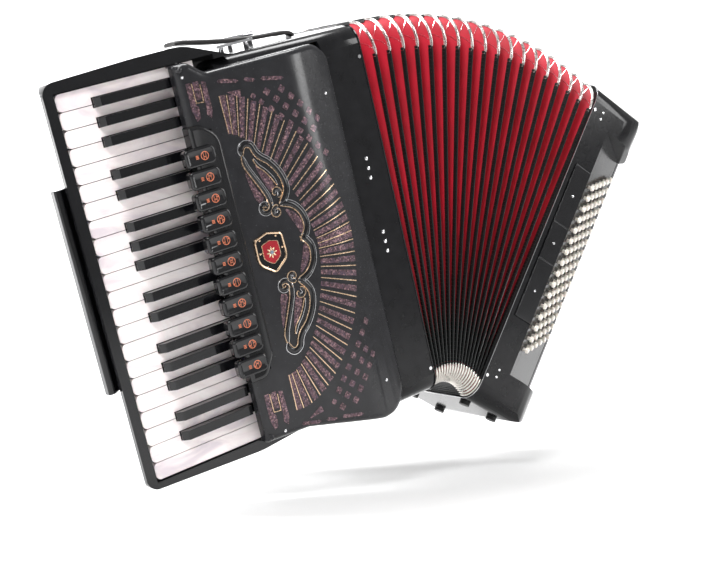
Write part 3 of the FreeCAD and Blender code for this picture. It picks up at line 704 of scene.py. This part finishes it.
def cover_depth(points):
    """Depth of the cover's face at points (x, z): flat, curving down to the right, rolled at the rim."""
    points = np.asarray(points, float)
    x = points[:, 0]
    depth = np.full(len(x), COVER_FRONT)
    arc = (x > BEND_START) & (x < BEND_END)
    depth[arc] = COVER_FRONT + BEND_RADIUS - np.sqrt(BEND_RADIUS ** 2 - (x[arc] - BEND_START) ** 2)
    past = x >= BEND_END
    end = COVER_FRONT + BEND_RADIUS * (1 - cos(SLOPE))
    depth[past] = end + (x[past] - BEND_END) * math.tan(SLOPE)
    room = np.clip(-depth - 1.0, 2.0, ROLL)
    inside = np.minimum(edge_distance(points, COVER), room)
    return depth + room - np.sqrt(np.maximum(room ** 2 - (room - inside) ** 2, 0))


def cut(work, place, normal):
    bmesh.ops.bisect_plane(work, geom=work.verts[:] + work.edges[:] + work.faces[:], dist=1e-4,
                           plane_co=place, plane_no=normal)


def sliced_depths(work, step):
    """Cuts a flat sheet along the bend; gives the depth of the cover's face at its points."""
    for x in np.arange(BEND_START, COVER_RIGHT, step):
        cut(work, (float(x), 0, 0), (1, 0, 0))
    work.verts.ensure_lookup_table()
    return cover_depth(np.array([(v.co.x, v.co.z) for v in work.verts]))


def placed(work, name, look, slot, smooth):
    """The finished sheet as a piece of the treble case."""
    build = Build(name, [look])
    work.verts.index_update()
    points = world(np.array([v.co[:] for v in work.verts]))
    build.add(points, [[v.index for v in f.verts] for f in work.faces])
    work.free()
    return build.object("treble", slot, smooth)


def cover_sheet():
    work = bmesh.new()
    loops = []
    centre = resampled(COVER, 6.0)
    inward = inward_of(centre)
    for offset in (0.0, 0.5, 1.3, 2.5, 4.2, 6.4, ROLL):
        ring = centre + inward * offset
        loops.append([work.verts.new((x, 0, z)) for x, z in ring])
    count = len(centre)
    for a, b in zip(loops, loops[1:]):
        for k in range(count):
            work.faces.new((a[k], a[(k + 1) % count], b[(k + 1) % count], b[k]))
    work.faces.new(loops[-1])
    # the slot for the register housing
    right, low, high = -238.0, -122.0, 160.0
    for place, normal in (((right, 0, 0), (1, 0, 0)), ((0, 0, low), (0, 0, 1)), ((0, 0, high), (0, 0, 1))):
        cut(work, place, normal)
    gone = [f for f in work.faces
            if f.calc_center_median().x < right and low < f.calc_center_median().z < high]
    bmesh.ops.delete(work, geom=gone, context="FACES")
    depth = sliced_depths(work, 4.0)
    rim = [e for e in work.edges if len(e.link_faces) == 1]
    walls = bmesh.ops.extrude_edge_only(work, edges=rim)
    lowered = {v for v in walls["geom"] if isinstance(v, bmesh.types.BMVert)}
    work.verts.ensure_lookup_table()
    for index, v in enumerate(work.verts):
        if v in lowered:
            under_keys = v.co.x < COVER_LEFT + 6 and -204 < v.co.z < 236.5
            housing = v.co.x < right + 1 and low - 1 < v.co.z < high + 1 and v.co.x > COVER_LEFT + 1
            v.co.y = HOUSING_FLOOR if housing else (KEY_FLOOR if under_keys else CASE_FLOOR)
        else:
            v.co.y = depth[index]
    bmesh.ops.triangulate(work, faces=[f for f in work.faces if len(f.verts) > 4])
    piece = placed(work, "grille_cover_shell", "grille", "grille", 50.0)
    shell = piece.modifiers.new("wall", "SOLIDIFY")
    shell.thickness, shell.offset = 0.002, -1
    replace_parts(piece, "grille_cover")


def on_cover(points, lift=0.0):
    points = np.asarray(points, float)
    return np.stack([points[:, 0], cover_depth(points) + lift, points[:, 1]], 1)


def inlays(name, outlines, look, slot, proud, sunk=0.4):
    """Thin plates let into the cover's face."""
    work = bmesh.new()
    for outline in outlines:
        work.faces.new([work.verts.new((x, 0, z)) for x, z in outline])
    depths = sliced_depths(work, 6.0)
    for v, d in zip(work.verts, depths):
        v.co.y = d + sunk
    raised = bmesh.ops.extrude_face_region(work, geom=work.faces[:])
    for item in raised["geom"]:
        if isinstance(item, bmesh.types.BMVert):
            item.co.y -= sunk + proud
    return placed(work, name, look, slot, 30.0)


RAYS = 30
RAY_X, RAY_Z = -218.0, 6.0


def ray_line(share):
    """Both ends of a ray: share runs from 1 for the top ray to -1 for the bottom one."""
    turn = math.copysign(radians(91) * abs(share) ** 1.1, share)
    across, up = max(cos(turn), 0.0), sin(turn)
    inner = np.array([RAY_X + 80 * across ** 1.25,
                      RAY_Z + math.copysign(143 * abs(up) ** 1.25, up) - 8 * across])
    return inner, inner + np.array([cos(turn), up]) * (43 + 11 * across)


def strip(inner, outer, half_in, half_out, reach=0.0):
    along = (outer - inner) / norm(outer - inner)
    side = np.array([-along[1], along[0]])
    inner, outer = inner - along * reach, outer + along * reach
    return [inner + side * half_in, outer + side * half_out, outer - side * half_out, inner - side * half_in]


def lozenge(x, z, size):
    return rounded([(x + u * size, z + v * size, 0.9) for u, v in ((1, 0), (0, 1), (-1, 0), (0, -1))], 2)


def grille_pattern():
    bars = [strip(*ray_line(1 - (2 * k + 1) / RAYS), 2.7, 3.6) for k in range(RAYS)]
    lines = [strip(*ray_line(1 - 2 * k / RAYS), 0.45, 0.6) for k in range(RAYS + 1)]
    diamonds = []
    for row, first, last in ((0, 0, 7), (1, 0, 5), (2, 1, 5)):
        for step in range(first, last + 1):
            x, z = -167 + 9.7 * row + 10.2 * step, 173.4 + 9.6 * row - 11.0 * step
            size = 5.2 if row or step else 4.2
            diamonds += [lozenge(x, z, size), lozenge(x, -15 - z, size)]
    diamonds.append(np.array([(-208, 194), (-190, 193), (-192, 183)]))
    diamonds.append(np.array([(-206, -196), (-186, -186), (-184, -194)]))
    diamonds.append(lozenge(-176, 182, 4))
    dashes = []
    for x0, x1 in ((-216, -190), (-182, -168), (-160, -131)):
        top = [(x, 208 - 0.17 * (x + 216)) for x in (x0, x1)]
        low = [(x, -198.5 - 0.2 * (x + 216)) for x in (x0, x1)]
        for (xa, za), (xb, zb) in (top, low):
            dashes.append(np.array([(xa + 2, za + 2.2), (xb - 3, zb + 2.0), (xb, zb - 0.4),
                                    (xb - 4, zb - 2.0), (xa + 1, za - 2.0), (xa - 1, za)]))
    legs = []
    for top in (214.0, -149.0):
        for leg in ([(-256, 0), (-249.5, 0), (-249.5, 24), (-246.5, 28), (-247.5, 40), (-252.5, 43),
                     (-256, 30)],
                    [(-247.5, 0), (-240, 0), (-240, 20), (-247.5, 20)],
                    [(-236.5, 1), (-231, 3), (-230.5, 34), (-234, 43), (-238.5, 38), (-237.5, 27)]):
            legs.append(np.array([(x, top - down) for x, down in leg]))
    inlays("grille_ray_bars", bars, "glitter", "grille_cloth", 0.25)
    diamond_piece = inlays("grille_diamonds", diamonds + dashes, "glitter", "grille_cloth", 0.3)
    inlays("grille_corner_marks", legs, "glitter", "grille_cloth", 0.25)
    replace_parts(diamond_piece, "grille_cloth")
    inlays("grille_ray_lines", lines, "gold", "grille", 0.55)
    marks = Build("grille_corner_lines", ["gold"])
    for top in (213.0, -150.0):
        line = smooth_line([(-248.6, top), (-248.4, top - 20.5), (-247.4, top - 22), (-240.0, top - 22.6),
                            (-239.0, top - 21.4), (-238.6, top - 3)], 4)
        tube(marks, on_cover(line, -0.1), 0.55, 0.6, 0, 6)
    marks.object("treble", "grille")


def volute(x, z, radius, start, turns, sense):
    made = []
    for k in range(int(14 * turns) + 1):
        t = k / (14 * turns)
        angle = radians(start) + sense * t * turns * 2 * pi
        r = radius * (1 - 0.72 * t)
        made.append((x + r * cos(angle), z + r * sin(angle)))
    return made


def scroll_place(points, mirror):
    """Points of the upper scroll where they lie on the cover, or mirrored for the lower scroll."""
    points = np.array(points, float) * (1, 0.94) + (4.0, 0.6)
    if mirror:
        points[:, 1] = 20.0 - points[:, 1]
    return points


SCROLL = [
    ([(-213, 128), (-212, 136), (-206, 140.5), (-198.5, 137), (-195, 128), (-190, 121), (-181, 113),
      (-172, 100), (-167, 86), (-167, 74), (-173, 63), (-180, 58)], 4.3),
    ([(-213, 128), (-211.5, 116), (-206, 103), (-199, 88), (-193, 73), (-191.5, 62)]
     + volute(-199.5, 60, 8, 10, 1.1, -1), 3.3),
    ([(-180, 58), (-172, 57.5), (-162, 52), (-154.5, 42), (-151.5, 30), (-152.5, 20), (-158, 11),
      (-163, 6)], 4.3),
    (volute(-186, 51, 6.5, 60, 1.0, 1), 2.6),
    (volute(-181, 74, 6.0, -80, 0.9, 1), 2.6),
    ([(-200, 121), (-196, 112), (-188, 103), (-181, 92), (-177, 82)], 1.6),
]
SCROLL_FIELDS = [
    [(-199, 112), (-191, 103), (-184, 92), (-181, 80), (-187, 76), (-193, 90)],
    [(-214, 108), (-209, 98), (-203, 82), (-198, 72), (-206, 68), (-211, 84)],
    [(-174, 50), (-165, 45), (-158, 35), (-156, 24), (-160, 16), (-166, 30)],
]


def scroll_work():
    """Raised scrolls above and below the badge: a hooked leaf, two volutes and a shouldered bow."""
    bands, gold, silver = (Build(f"grille_scroll_{part}", [look])
                           for part, look in (("bands", "frame"), ("gold", "gold"), ("silver", "silver")))
    for mirror in (False, True):
        for points, half in SCROLL:
            line = smooth_line(scroll_place(points, mirror), 5)
            tangent = unit(np.gradient(line, axis=0))
            side = np.stack([-tangent[:, 1], tangent[:, 0]], 1) * (1 if mirror else -1)
            steps = np.arange(len(line))
            side *= (half * np.minimum(1, 0.3 + np.minimum(steps, steps[::-1]) / 5))[:, None]
            tube(bands, on_cover(line, 0.2), half * 0.8, 1.7, 0, 10, taper=True)
            tube(silver, on_cover(line - side, -0.4), 0.6, 0.75, 0, 6)
            tube(gold, on_cover(line + side * 0.85, -0.5), 0.65, 0.8, 0, 6)
    for build in (bands, gold, silver):
        build.object("treble", "grille")
    fields = [scroll_place(smooth_line(field, 3, True), mirror)
              for field in SCROLL_FIELDS for mirror in (False, True)]
    inlays("grille_scroll_fields", fields, "glitter", "grille_cloth", 0.2)


def badge():
    """A plain shield with a gold rim and a rosette, in place of the maker's arms."""
    shield = rounded([(-220.5, 24, 5), (-203, 29, 6), (-184, 24, 5), (-183, -4, 14), (-202, -17.5, 5),
                      (-221, -4, 14)], 6)
    inner = rounded([(-213, 17, 3), (-202, 20, 4), (-191, 17, 3), (-190.5, 0, 8), (-202, -8, 4),
                     (-213.5, 0, 8)], 5)
    middle = np.array([-202.0, 6.0])
    front = COVER_FRONT - 0.1
    build = Build("grille_badge_shield", ["gold", "enamel", "enamel_blue", "frame"])
    block(build, shield, front, front - 1.6, 0, 3)
    tube(build, at_depth(resampled(shield, 3.0, round), front - 1.6), 1.2, 1.3, 0, 8, True)
    block(build, inner, front - 1.5, front - 2.0, 0, 1)
    tube(build, at_depth(resampled(inner, 2.0, round), front - 2.0), 0.45, 0.5, 0, 6, True)
    for k in range(8):
        angle = 2 * pi * k / 8
        ray = np.array([cos(angle), sin(angle)])
        petal = smooth_line([middle + 1.6 * ray, middle + 6.6 * ray], 5)
        tube(build, at_depth(petal, front - 2.2), 1.3, 0.7, 0, 8, taper=True)
    lathe(build, [(0.1, 0), (2.2, 0), (2.2, 0.9), (1.3, 1.4), (0.1, 1.5)],
          (middle[0], front - 2.0, middle[1]), FORWARD, 0, 14, 2)
    for x, z in ((-214, 23), (-192, 23), (-217, 8), (-187, 8), (-212, -9), (-192, -9)):
        lathe(build, [(0.1, 0), (1.3, 0), (1.1, 0.6), (0.1, 0.8)], (x, front - 1.6, z), FORWARD, 0, 10, 0)
    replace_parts(build.object("treble", "badge"), "grille_badge")


def rounded_slab(build, outline, levels):
    """A slab with rolled edges: levels are (inset, depth), from its foot to its face."""
    outline = resampled(outline, 4.0)
    inward = inward_of(outline)
    rings = [at_depth(outline + inward * inset, depth) for inset, depth in levels]
    build.add(world(np.concatenate(rings)), capped_faces(len(levels), len(outline)))


def housing():
    """The moulding that the register tabs are set in; its two ends are rounded."""
    build = Build("register_moulding", ["tab"])
    outline = rounded([(-268, 168, 2), (-252, 168, 22), (-231.5, 152, 24), (-231.5, -106, 22),
                       (-246, -130, 14), (-268, -130, 2)], 8)
    rounded_slab(build, outline,
                 [(0, -13.0), (0, -24.6), (0.5, -26.2), (1.6, -27.4), (3.2, -28.0), (5.0, -27.6)])
    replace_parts(build.object("treble", "register", 50.0), "register_housing")


TABS, TOP_TAB, TAB_PITCH = 11, 134.0, 24.4
REEDS = [(1,), (0, 1), (1, 2), (0, 1, 2), (0, 2), (1, 1), (0,), (0, 1, 2), (2,), (0, 2), (0, 1)]
SIGN_X, SIGN_Y, SIGN_RADIUS = -257.5, -30.55, 4.6


def tabs():
    """Eleven rocker tabs with rolled edges and a shallow dish."""
    for index in range(TABS):
        z = TOP_TAB - TAB_PITCH * index
        build = Build(f"register_tab_{index + 1:02d}", ["tab"])
        low, high = z - 10.6, z + 10.6
        outline = rounded([(-282, high, 5), (-243, high, 7), (-243, low, 7), (-282, low, 5)], 6)
        rounded_slab(build, outline, [(0.8, -20.0), (0.2, -27.4), (0, -28.6), (0.4, -30.0), (1.3, -31.0),
                                      (2.6, -31.4), (3.9, -31.1), (4.8, -30.6)])
        body = f"treble_register_{index + 1:02d}"
        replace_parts(build.object(body, "register", 60.0), body)


def tab_signs():
    """The usual sign of a register on each tab: a circle with two bars and dots for the reeds that sound."""
    for index in range(TABS):
        z = TOP_TAB - TAB_PITCH * index
        build = Build(f"register_sign_{index + 1:02d}", ["orange"])
        angle = np.linspace(0, 2 * pi, 24, endpoint=False)
        ring = np.stack([SIGN_X + SIGN_RADIUS * np.cos(angle), z + SIGN_RADIUS * np.sin(angle)], 1)
        tube(build, at_depth(ring, SIGN_Y), 0.5, 0.3, 0, 6, True)
        for shift in (-1.6, 1.6):
            half = math.sqrt(SIGN_RADIUS ** 2 - shift ** 2)
            tube(build, [(SIGN_X + shift, SIGN_Y, z + end) for end in (-half, 0, half)], 0.35, 0.25, 0, 6)
        for k, reed in enumerate(REEDS[index]):
            lathe(build, [(0.05, 0), (0.9, 0), (0.7, 0.3), (0.05, 0.35)],
                  (SIGN_X + 3.1 * (reed - 1), SIGN_Y, z + (1.2 if k % 2 else -1.2)), FORWARD, 0, 8)
        for middle in (z - 1.5, z, z + 1.5):
            low, high = middle - 0.45, middle + 0.45
            bar = [(-269, low), (-265.5, low), (-265.5, high), (-269, high)]
            block(build, bar, SIGN_Y + 0.2, SIGN_Y - 0.25)
        build.object(f"treble_register_{index + 1:02d}", "register")


def palm_bar():
    """The master bar beside the keyboard, with a wedge that closes the gap to the frame."""
    build = Build("palm_bar", ["frame"])
    section = [(-422, 13.5), (-419.5, 12), (-414.5, 12), (-401.4, 24.6), (-421, 24.6), (-422, 23.5)]
    block(build, section, -94, 138, axis=2)
    piece = build.object("palm_master_bar", "keyboard_frame", 30.0)
    edges = piece.modifiers.new("bevel", "BEVEL")
    edges.width, edges.segments, edges.limit_method = 0.0012, 3, "ANGLE"
    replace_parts(piece, "palm_master_bar")


cover_sheet()
grille_pattern()
scroll_work()
badge()
housing()
tabs()
tab_signs()
palm_bar()

# ---- bass side

SLANT = radians(34)  # of the button board
STRIP = 117.0  # where the board begins
BUTTONS, BUTTON_PITCH = 16, 16.1
ROW_PITCH, ROW_SHIFT = 13.3, 8.6
BUTTON_ROWS = ["counterbass", "bass", "major", "minor", "seventh", "diminished"]


def bass_buttons():
    head = [(0.2, -8), (2.4, -8), (2.4, 3.4), (3.6, 3.6), (4.3, 4.1), (4.3, 6.0), (4.05, 6.8), (3.4, 7.5),
            (2.4, 7.85), (1.2, 7.75), (0.2, 7.7)]
    for row, name in enumerate(BUTTON_ROWS):
        build = Build(f"buttons_{name}", ["cream"])
        along = 13 + ROW_PITCH * row
        for column in range(BUTTONS):
            centre = (STRIP + along * cos(SLANT), along * sin(SLANT),
                      98.5 + ROW_SHIFT * row - BUTTON_PITCH * column)
            lathe(build, head, centre, (sin(SLANT), -cos(SLANT), 0), 1.0, 18)
        body = f"bass_buttons_{name}"
        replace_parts(build.object(body, "bass_button", 50.0), body)


def case_line(inset, top=BASS_TOP):
    """The outline of a case's mouth as depth and height."""
    low, high, near, far, r = BOTTOM + inset, top - inset, inset, DEPTH - inset, CASE_ROUND - inset
    return resampled(rounded([(near, low, r), (near, high, r), (far, high, r), (far, low, r)], 10), 30.0)


def trims():
    for name, x, share, body, top in (("bass_mouth_trim", BELLOWS + 1.3, 1.0, "bass_side", BASS_TOP),
                                      ("treble_mouth_trim", -1.6, 0.0, "treble", TOP)):
        build = Build(name, ["chrome" if share else "frame"])
        line = case_line(-0.1, top)
        line = np.column_stack([np.full(len(line), x), line])
        tube(build, line, 1.1, 0.7, 0, 8, True, SIDEWAYS, share)
        build.object(body, "chrome" if share else "casing")


def stud(build, place, radius, shoulder, height, share=0.0, sides=14):
    lathe(build, [(0.2, 0), (radius, 0), *shoulder, (0.2, height)], place, FORWARD, share, sides)


def studs():
    """Small studs: screws on the cover, plain marks on each case's front and on the bass registers."""
    build = Build("grille_screws", ["chrome"])
    for x, z in ((-73, 162), (-84, -191), (-258, 222), (-240, -198)):
        stud(build, (x, float(cover_depth([(x, z)])[0]), z), 1.9, [(1.7, 0.7), (1.0, 1.1)], 1.2)
    build.object("treble", "chrome")
    build = Build("front_strip_marks", ["silver"])
    for z in (48, 60, 72, -20, -32, -44):
        stud(build, (-29, 0.1, z), 2.3, [(2.1, 0.6), (1.2, 1.0)], 1.1, 0, 16)
    build.object("treble", "chrome")
    build = Build("bass_strip_marks", ["silver"])
    for z in (196, 186, -196, -186):
        stud(build, (98, 0.1, z), 1.9, [(1.7, 0.5), (1.0, 0.9)], 1.0, 1.0, 16)
    build.object("bass_side", "chrome")
    for name, z in (("upper", 70), ("middle", 0), ("lower", -70)):
        build = Build(f"bass_register_mark_{name}", ["silver"])
        stud(build, (101.5, -2.2, z), 1.8, [(1.6, 0.3)], 0.45, 1.0)
        build.object(f"bass_register_{name}", "register")


def along_path(path):
    """A band's path and its normal at each point."""
    path = np.asarray(path, float)
    tangent = unit(np.gradient(path, axis=0))
    return path, np.stack([-tangent[:, 1], tangent[:, 0]], 1)


def ribbon(build, path, low, high, thick, share):
    """A leather band: path is (x, z) on the instrument's front view, low and high its two edges in depth."""
    path, normal = along_path(path)
    section = [(0.0, 0.0), (0.02, 0.5), (0.06, 0.85), (0.2, 1.0), (0.5, 1.15), (0.8, 1.0), (0.94, 0.85),
               (0.98, 0.5), (1.0, 0.0), (0.98, -0.1), (0.5, -0.1), (0.02, -0.1)]
    points = np.stack([at_depth(path + normal * thick * h, low + (high - low) * across)
                       for across, h in section], 1)
    build.add(world(points, share), capped_faces(len(path), len(section)))


def stitches(build, path, depth, height, share):
    """A row of thread along a band, in the build's second material."""
    path, normal = along_path(path)
    length = np.concatenate([[0], np.cumsum(norm(np.diff(path, axis=0), axis=1))])
    lifted = path + normal * height
    outward = UPWARD if abs(normal[0, 1]) > 0.5 else SIDEWAYS
    for start in np.arange(3.0, length[-1] - 4, 4.0):
        places = [start + k for k in (0, 0.9, 1.8, 2.7)]
        line = at_depth(np.stack([np.interp(places, length, side) for side in lifted.T], 1), depth)
        tube(build, line, 0.4, 0.35, 1, 5, normal=outward, share=share, taper=True)


HAND_STRAP = [(206.5, -196), (207, -186), (215, -178), (232, -142), (239, -98), (242, -48), (243, -4),
              (242, 40), (239, 90), (232, 134), (215, 170), (207, 178), (206.5, 188)]
BELLOWS_STRAP = [(-217, 255.5), (-206, 255.5), (-190, 252.5), (-150, 245.5), (-110, 240.5), (-78, 238.6),
                 (-64, 237.0), (-57.5, 233.0)]


def strap(name, path, low, high, thick, seam, share):
    """A stitched leather band; seam is how far the stitches lie from its edges."""
    build = Build(name, ["leather", "thread", "chrome"])
    ribbon(build, path, low, high, thick, share)
    for depth in (low + seam, high - seam):
        stitches(build, path, depth, thick - 0.1, share)
    return build


def straps():
    build = strap("hand_strap", smooth_line(HAND_STRAP, 6)[::-1], 112, 168, 3.4, 4, 1.0)
    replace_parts(build.object("bass_side", "leather", 60.0), "bass_strap")
    build = strap("bellows_strap_leather", smooth_line(BELLOWS_STRAP, 6), 50, 78, 4.4, 3, 0.0)
    block(build, [(-66, 55), (-58, 55), (-58, 73), (-66, 73)], 232, 238, 0, 2, axis=2)
    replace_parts(build.object("treble", "leather", 60.0), "bellows_strap")


bass_buttons()
trims()
studs()
straps()

# ---- floor, light and camera

def stage():
    """A pale floor that rises into a wall behind the instrument."""
    floor = bpy.data.meshes.new("floor")
    half, wall, radius, top, gap = 6.0, 6.0, 2.5, 5.0, 0.03
    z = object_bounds()[0][2] - gap
    rise = [(-half, z)] + [(wall - radius + radius * sin(t), z + radius * (1 - cos(t)))
                           for t in np.linspace(0, pi / 2, 25)] + [(wall, z + top)]
    points = [(side * 2 * half, float(y), float(h)) for y, h in rise for side in (-1, 1)]
    faces = [(2 * k, 2 * k + 1, 2 * k + 3, 2 * k + 2) for k in range(len(rise) - 1)]
    floor.from_pydata(points, [], faces)
    for face in floor.polygons:
        face.use_smooth = True
    look = material("pale_floor", (0.9, 0.9, 0.9), 0.65)
    drive(look, "Base Color", noise(look, coordinates(look), 3.0), "Fac",
          [(0.3, (0.88, 0.88, 0.88)), (0.7, (0.92, 0.92, 0.92))])
    floor.materials.append(look)
    shown("floor", floor)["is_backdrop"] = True


def area(name, place, target, size, power):
    light = bpy.data.lights.new(name, "AREA")
    light.shape, light.size, light.size_y = "RECTANGLE", size[0], size[1]
    light.energy = power
    lamp = shown(name, light)
    lamp.location = place
    lamp.rotation_euler = (Vector(target) - Vector(place)).to_track_quat("-Z", "Y").to_euler()


def lights():
    backdrop = bpy.data.worlds.new("studio")
    bpy.context.scene.world = backdrop
    backdrop.use_nodes = True
    sky = backdrop.node_tree.nodes["Background"].inputs
    sky["Color"].default_value = (1, 1, 1, 1)
    sky["Strength"].default_value = 0.40
    area("key", (-1.7, -1.5, 2.0), (-0.1, 0, 0), (0.9, 0.9), 60)
    area("fill", (1.9, -1.7, 1.0), (0.1, 0, 0), (0.7, 1.4), 26)
    area("top", (0.1, 0.5, 2.4), (0, 0, 0), (1.8, 0.8), 55)
    area("rim", (0.6, 1.9, 1.2), (0, 0, 0), (1.6, 1.0), 20)
    area("backdrop_left", (-2.5, 1.2, 1.6), (0.5, 5.6, 0.2), (1.6, 1.6), 330)
    area("backdrop_right", (3.2, 1.2, 1.6), (3.2, 5.8, 0.6), (1.6, 1.6), 470)


def camera():
    """A view from the keyboard's side; it aims beside the middle of the drawing."""
    azimuth, elevation, distance = radians(-33.91), radians(2.76), 1.848
    aside, above = -0.05776, -0.09562
    back = Vector((sin(azimuth) * cos(elevation), -cos(azimuth) * cos(elevation),
                   sin(elevation)))
    right = Vector((cos(azimuth), sin(azimuth), 0))
    up = back.cross(right)
    place = back * distance + right * aside + up * above
    x, z = turned(LEAN, ORIGIN[0], ORIGIN[2])
    place -= Vector((float(x), ORIGIN[1], float(z))) / 1000
    lens = bpy.data.cameras.new("camera")
    lens.lens, lens.sensor_width, lens.sensor_fit = 77.3, 36.0, "HORIZONTAL"
    lens.clip_end = 50
    view = shown("camera", lens)
    view.matrix_world = Matrix((right, up, back)).transposed().to_4x4()
    view.location = place
    bpy.context.scene.camera = view


stage()
lights()
camera()
bpy.context.scene.view_settings.view_transform = "Standard"
